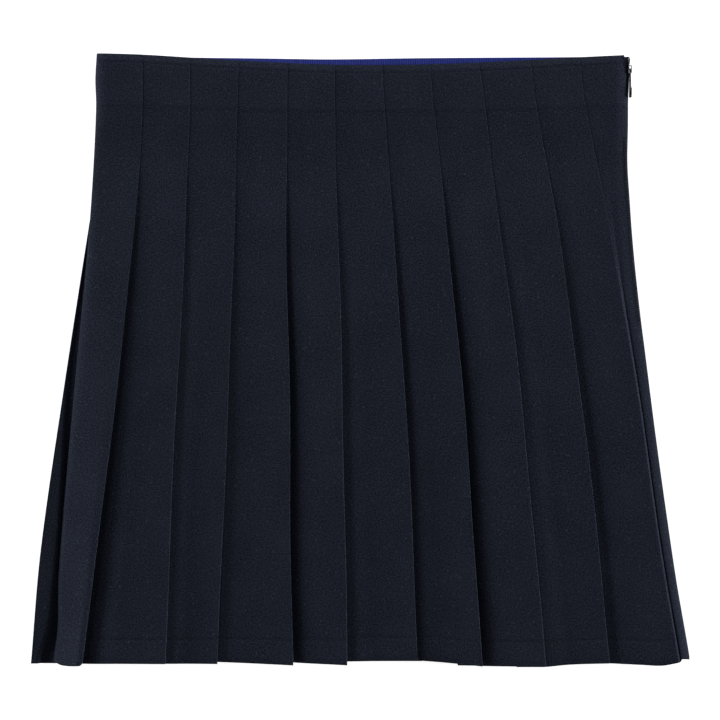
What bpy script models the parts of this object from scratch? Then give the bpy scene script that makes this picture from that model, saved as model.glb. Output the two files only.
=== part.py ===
"""A knife-pleated mini skirt with a side zip, laid flat on its back, front upwards.

X runs across the skirt, Y up to the waist, Z up from the surface that the skirt lies on. Sizes are in
millimetres, and MM turns them into metres where a mesh is made. A height down the skirt is a drop: the
distance below the waist line. Each pleat is a Z of cloth: a face, a fold that points round the body, a
return under the face, and an inner fold from which the next face starts.
"""

import math

import bmesh
import bpy

MM = 0.001

# Driving sizes of the cloth and of its layers
CLOTH = 1.0  # thickness of the cloth wall
EASE = 0.35  # air between two pressed layers
PITCH = CLOTH + EASE  # from one layer's middle to the next
CLOTH_PER_PLEAT = 80.0  # width of cloth that each pleat is folded from
WIDEST_DEPTH = 0.62  # most of a face's width that its pleat may be deep
FRONT_MARGIN = 1.0  # how far a face lies flat past the fold that it comes out from
BACK_RAMP = 6.0  # in the back a face drops on to the table over this width

# The skirt's length, and the drops at which the tables below give a place
WAIST_Y = 210.25
LENGTH = 421.7
STATIONS = (0.0, 35.0, 119.0, 231.0, 343.0, LENGTH)  # the second is at the waist tape's lower edge

# Outer edges of the front, at the stations
LEFT_EDGE = (-184.4, -184.7, -189.7, -200.1, -209.9, -215.0)
RIGHT_EDGE = (187.4, 187.0, 189.9, 202.2, 217.6, 230.3)

# Front folds, left to right: the fold's place at each station, how far it springs up at the hem, and how
# far the hem rises above its line on the fold and on the face that comes out from under it
FRONT_FOLDS = (
    # places, lift, hem on the fold, hem past the fold
    ((-152.3, -152.3, -157.9, -170.1, -183.4, -194.1), 5.0, -1.4, 0.0),
    ((-119.0, -119.0, -122.2, -127.8, -133.0, -135.8), 0.8, -0.2, 0.0),
    ((-84.7, -85.8, -88.2, -91.7, -96.6, -99.4), 2.2, 0.0, 1.4),
    ((-50.6, -51.1, -51.5, -49.4, -48.3, -46.9), 4.0, -0.9, 0.8),
    ((-17.7, -17.5, -15.4, -12.3, -10.2, -8.8), 1.2, -0.9, 1.4),
    ((15.4, 17.5, 23.1, 31.5, 37.1, 40.6), 4.0, 1.9, 2.1),
    ((49.0, 51.8, 60.9, 71.8, 80.2, 85.4), 5.0, -1.5, -1.4),
    ((83.3, 87.9, 98.0, 112.4, 122.5, 130.2), 1.2, -1.7, -1.7),
    ((119.0, 123.9, 138.6, 154.0, 167.0, 175.0), 3.5, 0.7, 0.2),
    ((153.3, 157.9, 175.4, 193.9, 210.7, 223.2), 1.0, 0.9, 1.0),
)
LIFT_START = 90.0  # drop where the pleats begin to spring open
P1_CARRIED = 0.6  # the first face is carried up with its fold, by this share of the lift

# Back folds point the other way. They are spaced evenly between the first and the last of them
BACK_FIRST = (-176.0, -177.0, -190.4, -207.6, -223.5, -230.3)
BACK_LAST = (156.0, 156.0, 161.0, 172.6, 185.7, 194.7)
BACK_HEM = (0.5, 0.8, 1.2, 0.6, 1.0, 0.8, 1.2, 0.9, -3.5, 0.8, 1.0)  # hem's rise on each fold
SIDE_PLEAT_DEPTH = 24.0  # of the pleat on the left side, where the side seam is hidden
RIDGE_LIFT = 3.5  # that pleat's fold stands up this far at the hem
RIDGE_STEPS = ((12.5, 0.0), (9.5, 0.5), (6.5, 1.0))  # distance from the fold, share of the lift

# The left edge of the front, which rolls over from under the side pleat
MOUTH = 3.2  # how far the side pleat gapes at the hem
ROLL_PUFF = 1.2  # how much thicker the roll is at the hem
SIDE_START = 110.0  # drop where the side pleat begins to open
RIGHT_PUFF = 1.5  # how much the right edge swells at the hem

# The waist's edges: how far they rise above the waist line at places across the skirt
TOP_PLACES = (-184.0, -152.0, -119.0, -66.0, -20.0, 38.0, 92.0, 153.0, 186.0)
FRONT_TOP = (4.7, 3.65, 1.6, -1.5, -3.3, -3.3, -1.5, 1.8, 3.4)
BACK_TOP = (2.3, 1.9, 1.15, 0.5, -0.1, 0.7, 1.1, 1.5, 2.4)
TOP_FADE = 70.0  # the curve is gone this far below the waist
HEM_FADE = 60.0  # the hem's rises start this far above it
CORNER_CUT = 4.5  # the front's corner beside the zip slopes down this much

# The waist tape, inside the waist
TAPE = 1.0
TAPE_WIDTH = 33.5
TAPE_SHOW = 0.5  # it stands this far above the back's edge
TAPE_END = 9.0  # it stops this far short of the right edge
TAPE_RISE = 2 * (TAPE + EASE)  # how much it lifts the front
TAPE_FADE = 35.0  # below the tape the front comes down over this length

# The zip in the right side seam
ZIP_LENGTH = 186.0
ZIP_GAP = 1.2  # between the front's and the back's edges along the zip
SEAM_GAP = 0.3  # between them below it

BACK_HEIGHT = 2 * PITCH + CLOTH  # three layers
INNER_LEVEL = CLOTH / 2 + 2 * PITCH  # middle of the back's highest layer


def smooth(share):
    """A share from 0 to 1, eased at both ends."""
    t = min(max(share, 0.0), 1.0)
    return t * t * (3 - 2 * t)


def curve(places, values, at):
    """The values given at some places, read anywhere between them from a smooth curve."""
    slopes = []
    for k in range(len(places)):
        a, b = max(k - 1, 0), min(k + 1, len(places) - 1)
        slopes.append((values[b] - values[a]) / (places[b] - places[a]))
    k = 0
    while k < len(places) - 2 and at > places[k + 1]:
        k += 1
    span = places[k + 1] - places[k]
    t = min(max((at - places[k]) / span, 0.0), 1.0)
    start = (1 + 2 * t) * (1 - t) ** 2 * values[k] + t * (1 - t) ** 2 * span * slopes[k]
    end = t * t * (3 - 2 * t) * values[k + 1] + t * t * (t - 1) * span * slopes[k + 1]
    return start + end


def along(values, drop):
    """A size given at the stations, read at any drop."""
    return curve(STATIONS, values, drop)


def opening(drop, start):
    """How far the pleats have opened at a drop: 0 at start and above it, 1 at the hem."""
    return smooth((drop - start) / (LENGTH - start))


def front_level(drop):
    """Height of the middle of the front's lowest layer. It lies on the back, and on the tape at the waist."""
    on_tape = 1 - smooth((drop - TAPE_WIDTH - 1) / TAPE_FADE)
    return BACK_HEIGHT + EASE + CLOTH / 2 + TAPE_RISE * on_tape


def depth_of(face):
    """Depth of a pleat whose face shows this wide."""
    return min((CLOTH_PER_PLEAT - face) / 2, WIDEST_DEPTH * face)


def arc(u, level, radius, start, end, steps):
    """Points round a centre, from one angle to another, in degrees."""
    turns = [math.radians(start + (end - start) * k / steps) for k in range(steps + 1)]
    return [(u + radius * math.cos(a), level + radius * math.sin(a)) for a in turns]


def ramp(u_start, u_end, low, high, steps=3):
    """Points that climb from one level to another, eased at both ends."""
    shares = [k / steps for k in range(steps + 1)]
    return [(u_start + (u_end - u_start) * s, low + (high - low) * smooth(s)) for s in shares]


def fold_and_return(edge, depth, lift, ridge=(), carried=0.0):
    """From the top of a pleat's stack, round its fold and back. Carried is the share of the lift over the stack."""
    radius = PITCH / 2
    centre = edge - CLOTH / 2 - radius
    top = 2 * PITCH
    over, under = [], []
    for back, share in ridge:
        over.append((edge - back, top + lift * share))
        under.insert(0, (edge - back, PITCH + lift * share))
    if not ridge:
        over = [(edge - depth - CLOTH, top + lift * carried)]
    turn = arc(centre, top + lift - radius, radius, 90, -90, 4)
    return over + turn + under


def inner_fold(edge, depth):
    """The inner fold, from the return down to the start of the next face."""
    radius = PITCH / 2
    return arc(edge - depth + radius, radius, radius, 90, 270, 4)


def with_hem(points, hem):
    return [(u, level, hem) for u, level in points]


def front_section(drop):
    """The middle of the front's cloth across the skirt at a drop, left to right, as (x, z, hem rise)."""
    base = front_level(drop)
    left = along(LEFT_EDGE, drop)
    right = along(RIGHT_EDGE, drop)
    side_open = opening(drop, SIDE_START)
    roll_low = INNER_LEVEL + MOUTH * side_open
    roll_high = base + (MOUTH + ROLL_PUFF) * side_open
    radius = (roll_high - roll_low) / 2
    centre = left + CLOTH / 2 + radius
    seam = along(BACK_FIRST, drop) + SIDE_PLEAT_DEPTH
    first_fold = along(FRONT_FOLDS[0][0], drop)
    flat_to = first_fold - depth_of(first_fold - left) - CLOTH - EASE
    points = [(seam, INNER_LEVEL - base), (flat_to, INNER_LEVEL - base)]
    points += arc(centre, (roll_low + roll_high) / 2 - base, radius, 270, 90, 6)
    section = with_hem(points, 0.5)
    start, past_hem = left, 0.5
    for places, lift, hem_on_fold, hem_past_fold in FRONT_FOLDS:
        edge = along(places, drop)
        depth = depth_of(edge - start)
        stack = edge - depth - CLOTH
        if start != left:
            climb = ramp(start + FRONT_MARGIN, stack, 0.0, 2 * PITCH)[:-1]
            section += with_hem(climb, past_hem)
        carried = P1_CARRIED if start == left else 0.0
        turn = fold_and_return(edge, depth, lift * opening(drop, LIFT_START), carried=carried)
        section += with_hem(turn, hem_on_fold) + with_hem(inner_fold(edge, depth), hem_past_fold)
        start, past_hem = edge, hem_past_fold
    swell = RIGHT_PUFF * side_open
    zip_end = smooth((drop - ZIP_LENGTH) / 20)
    gap = ZIP_GAP + (SEAM_GAP - ZIP_GAP) * zip_end
    radius = (base + swell - CLOTH / 2) / 2
    centre = right - CLOTH / 2 - radius
    section += with_hem([(start + FRONT_MARGIN, 0.0)], past_hem)
    last = math.degrees(math.asin(gap / 2 / radius))
    section += with_hem(arc(centre, CLOTH / 2 + radius - base, radius, 90, last, 4), 3.3)
    return [(x, level + base, hem) for x, level, hem in section]


def back_section(drop):
    """The middle of the back's cloth at a drop, from the right side seam to the left one, as (x, z, hem rise)."""
    right = along(RIGHT_EDGE, drop)
    side_open = opening(drop, SIDE_START)
    first, last = along(BACK_FIRST, drop), along(BACK_LAST, drop)
    zip_end = smooth((drop - ZIP_LENGTH) / 20)
    gap = ZIP_GAP + (SEAM_GAP - ZIP_GAP) * zip_end
    radius = (front_level(drop) + RIGHT_PUFF * side_open - CLOTH / 2) / 2
    centre = right - CLOTH / 2 - radius
    turn = -math.degrees(math.asin(gap / 2 / radius))
    section = [(-x, INNER_LEVEL - z, 2.0) for x, z in arc(centre, CLOTH / 2 + radius, radius, turn, -90, 4)]
    count = len(BACK_HEM)
    start, face = None, (last - first) / (count - 1)
    for k in reversed(range(count)):
        edge = -(first + face * k)
        side = k == 0
        depth = SIDE_PLEAT_DEPTH if side else depth_of(face)
        if start is not None:
            climb = ramp(start + FRONT_MARGIN, start + FRONT_MARGIN + BACK_RAMP, 0.0, 2 * PITCH)
            section += with_hem(climb, 0.9)
        ridge = RIDGE_STEPS if side else ()
        section += with_hem(fold_and_return(edge, depth, -RIDGE_LIFT * side_open * side, ridge), BACK_HEM[k])
        if side:
            section += with_hem([(edge - depth, PITCH)], 1.0)
        else:
            section += with_hem(inner_fold(edge, depth), 1.0)
        start = edge
    return [(-u, INNER_LEVEL - level, hem) for u, level, hem in section]


def sides_of(section, thickness):
    """The two faces of a wall whose middle is the section: points half the thickness either way."""
    sides = ([], [])
    last = len(section) - 1
    for k, (x, z, hem) in enumerate(section):
        before, after = section[max(k - 1, 0)], section[min(k + 1, last)]
        into = (x - before[0], z - before[1]) if k else (after[0] - x, after[1] - z)
        out = (after[0] - x, after[1] - z) if k < last else into
        a, b = math.atan2(into[1], into[0]), math.atan2(out[1], out[0])
        bend = (b - a + math.pi) % (2 * math.pi) - math.pi
        reach = thickness / 2 / math.cos(bend / 2)
        normal = a + bend / 2 + math.pi / 2
        for side, sign in zip(sides, (1, -1)):
            side.append((x + sign * reach * math.cos(normal), z + sign * reach * math.sin(normal), hem))
    return sides


def wall(name, rows, colour, roughness):
    """A closed wall of cloth: rows of points on its two faces, joined across and capped at all four edges."""
    columns = len(rows[0][0])
    mesh = bmesh.new()
    grid = [[[mesh.verts.new([c * MM for c in p]) for p in side] for side in row] for row in rows]
    for one, two in zip(grid, grid[1:]):
        for c in range(columns - 1):
            # A twisted quad is split the same way in every layer, so that layers keep their air
            rightwards = one[0][c + 1].co.x > one[0][c].co.x
            for side in (0, 1):
                ring = [one[side][c], two[side][c], two[side][c + 1], one[side][c + 1]]
                ring = ring if rightwards else ring[1:] + ring[:1]
                mesh.faces.new(ring if side == 0 else (ring[0], *reversed(ring[1:])))
        mesh.faces.new((one[0][0], one[1][0], two[1][0], two[0][0]))
        mesh.faces.new((one[1][-1], one[0][-1], two[0][-1], two[1][-1]))
    first, last = grid[0], grid[-1]
    for c in range(columns - 1):
        mesh.faces.new((first[0][c], first[0][c + 1], first[1][c + 1], first[1][c]))
        mesh.faces.new((last[0][c + 1], last[0][c], last[1][c], last[1][c + 1]))
    return finished(name, mesh, colour, roughness)


def finished(name, mesh, colour, roughness, metallic=0.0):
    """The bmesh as a named object with its own material."""
    data = bpy.data.meshes.new(name)
    mesh.to_mesh(data)
    mesh.free()
    data.shade_smooth()
    data.set_sharp_from_angle(angle=math.radians(40))
    thing = bpy.data.objects.new(name, data)
    bpy.context.scene.collection.objects.link(thing)
    material = bpy.data.materials.new(name)
    material.use_nodes = True
    shader = material.node_tree.nodes["Principled BSDF"]
    shader.inputs["Base Color"].default_value = (*colour, 1)
    shader.inputs["Roughness"].default_value = roughness
    shader.inputs["Metallic"].default_value = metallic
    data.materials.append(material)
    return thing


NAVY = (0.012, 0.015, 0.026)
ROYAL_BLUE = (0.022, 0.032, 0.25)
BLACK = (0.01, 0.01, 0.011)
GUNMETAL = (0.09, 0.09, 0.1)

FRONT_ROWS = (0.0, 12.0, 35.0, 70.0, 119.0, 165.0, 212.0, 260.0, 308.0, 352.0, 392.0, LENGTH)
BACK_ROWS = (0.0, 35.0, 70.0, 119.0, 186.0, 212.0, 280.0, 352.0, 392.0, LENGTH)


def panel(name, section_at, drops, top, corner_cut):
    """The front or the back: its section at each drop, thickened, with its waist and hem cut to shape."""
    rows = []
    for drop in drops:
        row = []
        cut_from = along(RIGHT_EDGE, drop) - 5.0
        for side in sides_of(section_at(drop), CLOTH):
            points = []
            for x, z, hem in side:
                rise = curve(TOP_PLACES, top, x) - corner_cut * smooth((x - cut_from) / 5.0)
                y = WAIST_Y - drop
                y += rise * (1 - smooth(drop / TOP_FADE))
                y += hem * smooth((drop - LENGTH + HEM_FADE) / HEM_FADE)
                points.append((x, y, z))
            row.append(points)
        rows.append(row)
    return wall(name, rows, NAVY, 0.85)


def front_panel():
    return panel("front_panel", front_section, FRONT_ROWS, FRONT_TOP, CORNER_CUT)


def back_panel():
    return panel("back_panel", back_section, BACK_ROWS, BACK_TOP, 0.0)


def waist_tape():
    """One length of ribbed tape inside the waist: along the back, round the left side, along the front."""
    low = BACK_HEIGHT + EASE + TAPE / 2
    high = low + TAPE + EASE
    radius = (high - low) / 2
    rows = []
    for fall in (0.0, TAPE_WIDTH):
        left = along(LEFT_EDGE, fall) + CLOTH + EASE + TAPE / 2 + radius
        right = along(RIGHT_EDGE, fall) - TAPE_END
        across = [right + (left - right) * k / 14 for k in range(15)]
        line = [(x, low, 0.0) for x in across]
        line += [(x, z, k / 6) for k, (x, z) in enumerate(arc(left, low + radius, radius, 270, 90, 6))][1:]
        line += [(x, high, 1.0) for x in reversed(across[:-1])]
        row = []
        for side in sides_of(line, TAPE):
            points = []
            for x, z, on_front in side:
                behind = curve(TOP_PLACES, BACK_TOP, x) + TAPE_SHOW
                before = curve(TOP_PLACES, FRONT_TOP, x) - EASE
                points.append((x, WAIST_Y + behind + (before - behind) * on_front - fall, z))
            row.append(points)
        rows.append(row)
    return wall("waist_tape", rows, ROYAL_BLUE, 0.6)


# The zip: the places of its pieces across, up and along the side
SIDE_X = RIGHT_EDGE[0]
ZIP_MIDDLE_Z = (front_level(0.0) + CLOTH / 2) / 2
ZIP_TAPE_START = -3.4  # the drops at which its pieces start
COIL_START = -1.5
ZIP_ROWS = (12.0, 35.0, 70.0, 119.0, 150.0, ZIP_LENGTH)
COIL = (1.0, 1.2)  # across the side, and up
ZIP_TAPE = (1.0, 3.2)
SLIDER = (0.7, 11.0, 5.0)  # thickness, length, width
NECK = (1.6, 6.0, 0.5)  # what reaches from the slider through the seam to the coil
BAIL_BAR = 0.6
BAIL_WIDTH = 1.2
BAIL_LENGTH = 5.4
BAIL_DROP = 2.4  # the bail's middle is this far below the slider's middle
PULL_TURN_R = 0.45  # radius of the pull's bar, which turns under the bail
PULL = (0.8, 19.8, 5.0)  # thickness, length, width
PULL_EYE = (3.0, 2.2)  # the pull's eye, along and across
PULL_TIP = (1.6, 7.4, 5.2)  # its thicker end: thickness, length, width
PULL_TIP_ROUND = 0.7
RUNNING = 0.15  # clearance where the pull turns
BAIL_REACH = 2 * (RUNNING + PULL_TURN_R) + BAIL_BAR  # how far the bail stands out from the slider

SLIDER_Y = WAIST_Y - 4.0
PIVOT_Y = SLIDER_Y - BAIL_DROP
SLIDER_X = SIDE_X + EASE
PIVOT_X = SLIDER_X + SLIDER[0] + RUNNING + PULL_TURN_R


def block(mesh, low, high, bevel=0.0):
    """A box between two corners, with its edges rounded."""
    made = bmesh.ops.create_cube(mesh, size=1.0)["verts"]
    for vert in made:
        vert.co = [(a + (b - a) * (c + 0.5)) * MM for a, b, c in zip(low, high, vert.co)]
    if bevel:
        edges = list({e for v in made for e in v.link_edges})
        bmesh.ops.bevel(mesh, geom=edges, offset=bevel * MM, segments=2, affect="EDGES", profile=0.5)


def helper(name, low, high, bevel=0.0):
    """A box that another piece is joined to or cut by. It isn't a part itself."""
    mesh = bmesh.new()
    block(mesh, low, high, bevel)
    data = bpy.data.meshes.new(name)
    mesh.to_mesh(data)
    mesh.free()
    thing = bpy.data.objects.new(name, data)
    thing.hide_render = True
    thing.display_type = "WIRE"
    bpy.context.scene.collection.objects.link(thing)
    return thing


def boolean(thing, other, operation):
    step = thing.modifiers.new(other.name, "BOOLEAN")
    step.object = other
    step.operation = operation
    step.solver = "EXACT"


def zip_line(x_in, x_out, widest, start, name, colour):
    """A strip that follows the side seam, inside it: its inner and outer faces, measured in from the right edge."""
    mesh = bmesh.new()
    rings = []
    for drop in (start, *ZIP_ROWS):
        edge = along(RIGHT_EDGE, max(drop, 0.0))
        ceiling = front_level(drop) + RIGHT_PUFF * opening(drop, SIDE_START) - CLOTH / 2
        middle = (ceiling + CLOTH) / 2
        half = min(widest, ceiling - CLOTH - 2 * EASE) / 2
        y = WAIST_Y - drop
        corners = (
            (edge - x_in, middle - half),
            (edge - x_in, middle + half),
            (edge - x_out, middle + half),
            (edge - x_out, middle - half),
        )
        rings.append([mesh.verts.new((x * MM, y * MM, z * MM)) for x, z in corners])
    for one, two in zip(rings, rings[1:]):
        for k in range(4):
            mesh.faces.new((one[k], one[(k + 1) % 4], two[(k + 1) % 4], two[k]))
    mesh.faces.new(rings[0])
    mesh.faces.new(reversed(rings[-1]))
    bmesh.ops.recalc_face_normals(mesh, faces=mesh.faces)
    return finished(name, mesh, colour, 0.5)


def zip_slider():
    """The slider: a plate outside the seam, a neck through it, and a bail that the pull hangs on."""
    thick, length, width = SLIDER
    mesh = bmesh.new()
    low = (SLIDER_X, SLIDER_Y - length / 2, ZIP_MIDDLE_Z - width / 2)
    high = (SLIDER_X + thick, SLIDER_Y + length / 2, ZIP_MIDDLE_Z + width / 2)
    block(mesh, low, high, 0.25)
    slider = finished("zip_slider", mesh, GUNMETAL, 0.35, 1.0)
    reach, tall, narrow = NECK
    neck = helper(
        "slider_neck",
        (SLIDER_X + 0.3 - reach, SLIDER_Y - tall / 2, ZIP_MIDDLE_Z - narrow / 2),
        (SLIDER_X + 0.3, SLIDER_Y + tall / 2, ZIP_MIDDLE_Z + narrow / 2),
    )
    outer = SLIDER_X + thick + BAIL_REACH
    bail = helper(
        "slider_bail",
        (SLIDER_X + 0.3, PIVOT_Y - BAIL_LENGTH / 2, ZIP_MIDDLE_Z - BAIL_WIDTH / 2),
        (outer, PIVOT_Y + BAIL_LENGTH / 2, ZIP_MIDDLE_Z + BAIL_WIDTH / 2),
        0.15,
    )
    window = helper(
        "bail_window",
        (SLIDER_X + thick, PIVOT_Y - BAIL_LENGTH / 2 + BAIL_BAR, ZIP_MIDDLE_Z - BAIL_WIDTH),
        (outer - BAIL_BAR, PIVOT_Y + BAIL_LENGTH / 2 - BAIL_BAR, ZIP_MIDDLE_Z + BAIL_WIDTH),
    )
    boolean(bail, window, "DIFFERENCE")
    boolean(slider, neck, "UNION")
    boolean(slider, bail, "UNION")
    return slider


def zip_pull():
    """The pull: a flat drop shape with an eye, turning on the round bar at its top, under the bail."""
    thick, length, width = PULL
    steps = 10
    outline = []
    for k in range(steps + 1):
        angle = math.pi * (1 + k / steps)
        outline.append((math.sin(angle) * width / 2 - length + width / 2, math.cos(angle) * width / 2))
    shoulder = 0.72 * width / 2
    outline += [(-PULL_TURN_R * 2.4, shoulder), (0.0, shoulder), (0.0, -shoulder), (-PULL_TURN_R * 2.4, -shoulder)]
    mesh = bmesh.new()
    low_x = PIVOT_X - thick / 2
    faces = []
    for x in (low_x, low_x + thick):
        ring = [mesh.verts.new((x * MM, (PIVOT_Y + a) * MM, (ZIP_MIDDLE_Z + b) * MM)) for a, b in outline]
        faces.append(ring)
        mesh.faces.new(ring)
    count = len(outline)
    for k in range(count):
        mesh.faces.new((faces[0][k], faces[0][(k + 1) % count], faces[1][(k + 1) % count], faces[1][k]))
    bmesh.ops.recalc_face_normals(mesh, faces=mesh.faces)
    pull = finished("zip_pull", mesh, GUNMETAL, 0.35, 1.0)
    eye_long, eye_wide = PULL_EYE
    eye = helper(
        "pull_eye",
        (low_x - 1, PIVOT_Y - PULL_TURN_R - eye_long, ZIP_MIDDLE_Z - eye_wide / 2),
        (low_x + thick + 1, PIVOT_Y - PULL_TURN_R + 0.05, ZIP_MIDDLE_Z + eye_wide / 2),
    )
    tip_thick, tip_long, tip_wide = PULL_TIP
    tip_end = PIVOT_Y - length - 0.1
    tip = helper(
        "pull_tip",
        (PIVOT_X - tip_thick / 2, tip_end, ZIP_MIDDLE_Z - tip_wide / 2),
        (PIVOT_X + tip_thick / 2, tip_end + tip_long, ZIP_MIDDLE_Z + tip_wide / 2),
        PULL_TIP_ROUND,
    )
    boolean(pull, eye, "DIFFERENCE")
    boolean(pull, tip, "UNION")
    bpy.ops.mesh.primitive_cylinder_add(
        vertices=16,
        radius=PULL_TURN_R * MM,
        depth=2 * shoulder * MM,
        location=(PIVOT_X * MM, PIVOT_Y * MM, ZIP_MIDDLE_Z * MM),
    )
    bar = bpy.context.object
    bar.name = "pull_bar"
    bar.hide_render = True
    bar.display_type = "WIRE"
    boolean(pull, bar, "UNION")
    return pull


def main():
    for thing in list(bpy.data.objects):
        bpy.data.objects.remove(thing)
    front_panel()
    back_panel()
    waist_tape()
    coil_in = CLOTH + EASE + COIL[0]
    zip_line(coil_in, CLOTH + EASE, COIL[1], COIL_START, "zip_coil", BLACK)
    tape_in = coil_in + EASE + ZIP_TAPE[0]
    zip_line(tape_in, coil_in + EASE, ZIP_TAPE[1], ZIP_TAPE_START, "zip_tape", BLACK)
    zip_slider()
    zip_pull()


main()
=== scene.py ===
"""A navy knife-pleated mini skirt laid flat on a pale surface, seen from straight above."""

import math

import bpy
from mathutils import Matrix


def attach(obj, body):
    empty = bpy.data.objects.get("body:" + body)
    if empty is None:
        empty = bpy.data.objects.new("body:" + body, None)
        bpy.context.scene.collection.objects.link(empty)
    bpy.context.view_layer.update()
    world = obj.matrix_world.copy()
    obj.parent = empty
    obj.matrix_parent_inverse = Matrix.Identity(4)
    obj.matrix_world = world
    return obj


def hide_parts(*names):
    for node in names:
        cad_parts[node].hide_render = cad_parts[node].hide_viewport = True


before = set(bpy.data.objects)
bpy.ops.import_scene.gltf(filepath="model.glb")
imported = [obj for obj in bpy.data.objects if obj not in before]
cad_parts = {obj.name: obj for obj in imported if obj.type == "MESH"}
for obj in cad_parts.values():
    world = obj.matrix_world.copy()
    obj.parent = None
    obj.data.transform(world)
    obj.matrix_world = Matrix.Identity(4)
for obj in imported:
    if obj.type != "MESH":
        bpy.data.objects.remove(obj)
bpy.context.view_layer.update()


# Back panel
# One width of navy twill, knife-pleated and pressed. It lies face down. Its folds point to the viewer's left,
# and its last pleat shows past the front as a narrow strip. Sizes are in millimetres, as in a maker's notes.

MM = 0.001
WALL = 0.22  # the twill's thickness
WAIST_Y = 210.25  # the places below are given as a distance below this, towards the hem
LENGTH = 421.7
STATIONS = (0.0, 35.0, 119.0, 231.0, 343.0, LENGTH)  # distances below the waist where the tables give a place
RIGHT_EDGE = (188.6, 187.8, 190.5, 203.0, 218.3, 230.8)
BACK_FIRST = (-176.0, -177.0, -190.4, -207.6, -223.5, -230.3)
BACK_LAST = (156.0, 156.0, 161.0, 172.6, 185.7, 194.7)
BACK_HEM = (-0.7, 0.8, 1.2, 0.6, 1.0, 0.8, 1.2, 0.9, -3.5, 0.8, 1.0)  # hem's rise on each fold
TOP_PLACES = (-184.0, -152.0, -119.0, -66.0, -20.0, 38.0, 92.0, 153.0, 186.0)
BACK_TOP = (2.3, 1.9, 1.15, 0.5, -0.1, 0.7, 1.1, 1.5, 2.4)  # the waist edge's rise at those places
BACK_LOW = 0.42  # middle of the layer that lies on the table
BACK_LAYER = 1.25  # from one of the back's layers to the next
CLOTH_PER_PLEAT = 80.0  # face, return and what lies under the face, where that isn't limited
WIDEST_DEPTH = 0.62  # a pleat is no deeper than this share of its face
HIDDEN_HEM = 0.9  # rise of the hem inside the back's pleats
SIDE_HEM = 2.0  # and at the right side
SIDE_PLEAT_DEPTH = 24.0
SIDE_START = 110.0  # the side pleat opens from here down
RIDGE = (1.6, 3.5)  # height of the side pleat's ridge, and what is added at the hem
RIDGE_WIDTH = (1.0, 9.7, -6.1)  # its width, and what is added lower down, twice
RIDGE_PLACES = ((200.0, 150.0), (385.0, 40.0))  # where each change starts, and over what length
INNER_LEVEL = 1.9  # of the layer below the front's left face, above the side pleat
RIGHT_PUFF = 1.5  # how much higher the right side stands at the hem
# The right edge is drawn in at the hip and stands out beside the slider: how far, where, over what reach
RIGHT_WAVES = ((-0.9, 72.0, 20.0), (0.36, 15.0, 11.0))
BACK_SIDE_ROUND = 1.4  # the back's turn at the right is this much wider than it is high
ZIP_LENGTH = 186.0
ZIP_GAP = 1.2
ZIP_END = 20.0  # the gap closes over this length, past the zip
SEAM_GAP = 0.3
TOP_FADE = 70.0  # the waist edge's rise fades over this length
HEM_FADE = 60.0  # the hem's rise fades over this length
WAIST_STITCH = 5.6  # below the waist's edge
HEM_STITCH = 17.0  # above the hem's edge


def smooth(share):
    """A soft step: 0 below 0, and 1 above 1."""
    t = min(max(share, 0.0), 1.0)
    return t * t * (3 - 2 * t)


def bell(distance, width):
    """A soft bump: 1 in the middle, and almost nothing past twice its width."""
    return math.exp(-((distance / width) ** 2))


def curve(places, values, at):
    """The values given at some places, read anywhere between them from a smooth curve."""
    last = len(places) - 1
    k = 0
    while k < last - 1 and at > places[k + 1]:
        k += 1
    slopes = []
    for n in (k, k + 1):
        a, b = max(n - 1, 0), min(n + 1, last)
        slopes.append((values[b] - values[a]) / (places[b] - places[a]))
    span = places[k + 1] - places[k]
    t = min(max((at - places[k]) / span, 0.0), 1.0)
    start = (1 + 2 * t) * (1 - t) ** 2 * values[k] + t * (1 - t) ** 2 * span * slopes[0]
    end = t * t * (3 - 2 * t) * values[k + 1] + t * t * (t - 1) * span * slopes[1]
    return start + end


def along(values, drop):
    """A table's value at a distance below the waist."""
    return curve(STATIONS, values, drop)


def waved(waves, drop):
    """How far an edge is moved to the right. Each wave: how far, its distance below the waist, its reach."""
    return sum(moved * bell(drop - at, reach) for moved, at, reach in waves)


def opening(drop, start):
    """How far a side has opened: 0 down to the start, and 1 at the hem."""
    return smooth((drop - start) / (LENGTH - start))


def pleat_depth(face):
    """How far a pleat goes back under its face, for a face of this width."""
    return min((CLOTH_PER_PLEAT - face) / 2, WIDEST_DEPTH * face)


def arc(x, z, radii, start, end, steps):
    """Points round an ellipse, from one angle to another in degrees."""
    turns = [math.radians(start + (end - start) * k / steps) for k in range(steps + 1)]
    return [(x + radii[0] * math.cos(a), z + radii[1] * math.sin(a)) for a in turns]


def run(start, end, steps, shape=lambda t: t):
    """Points from one place to another. The shape says how the height gets there."""
    shares = [k / steps for k in range(steps + 1)]
    return [
        (start[0] + (end[0] - start[0]) * t, start[1] + (end[1] - start[1]) * shape(t))
        for t in shares
    ]


def with_hem(points, hem):
    """The same points, each with the hem's rise below it."""
    return [(x, z, hem) for x, z in points]


# The waist tape lies between back and front, and lifts the front: see the tape's section
TAPE_WIDTH = 33.5
TAPE_RISE = 2.7
TAPE_STEP = (0.2, 3.0)  # share of the rise that ends at the tape's edge, and over what length
TAPE_SLOPE = 35.0  # the rest ends over this length
FRONT_BASE = 4.55  # middle of the front's lowest layer, where there is no tape below it


def front_level(drop):
    """Middle of the front's lowest layer. It steps down past the tape's edge, then comes down slowly."""
    past = drop - TAPE_WIDTH
    step = TAPE_STEP[0] * (1 - smooth((past + 0.5) / TAPE_STEP[1]))
    slow = (1 - TAPE_STEP[0]) * (1 - smooth((past - 1) / TAPE_SLOPE))
    return FRONT_BASE + TAPE_RISE * (step + slow)


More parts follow.
